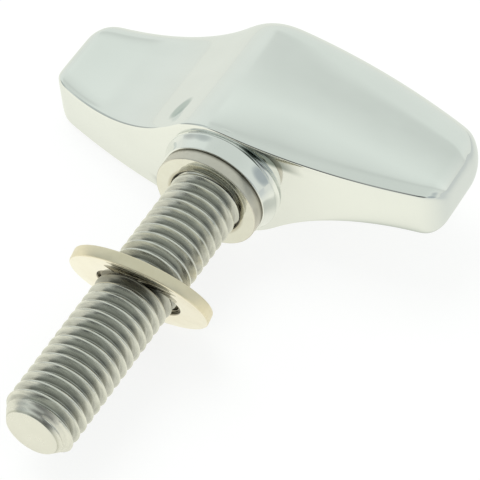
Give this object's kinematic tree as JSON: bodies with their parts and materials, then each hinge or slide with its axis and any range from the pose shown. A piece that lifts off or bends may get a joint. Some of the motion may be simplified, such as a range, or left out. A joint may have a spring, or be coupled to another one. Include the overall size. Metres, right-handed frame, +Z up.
{
  "type": "wing bolt",
  "caption": "Wing bolt with a polished die-cast handle of sculpted wings, a threaded steel stud, a thin washer seated on the boss and a larger flat washer hanging loose on the thread.",
  "frame": {"origin": "on the surface that the bolt lies on, under the stud's axis and halfway along the bolt", "axes": "+Z up from the surface; +Y level along the stud's axis, from its tip to the handle; +X across, towards the wing whose tip is off the surface"},
  "size_m": [0.0464, 0.0552, 0.0149],
  "materials": {
    "polished_chrome": "polished",
    "plated_steel": "satin",
    "nickel_plate": "gloss",
    "warm_nickel": "gloss"
  },
  "bodies": {
    "root": {"wing_handle": "polished_chrome", "threaded_stud": "plated_steel", "seated_washer": "nickel_plate", "loose_washer": "warm_nickel"}
  },
  "joints": []
}
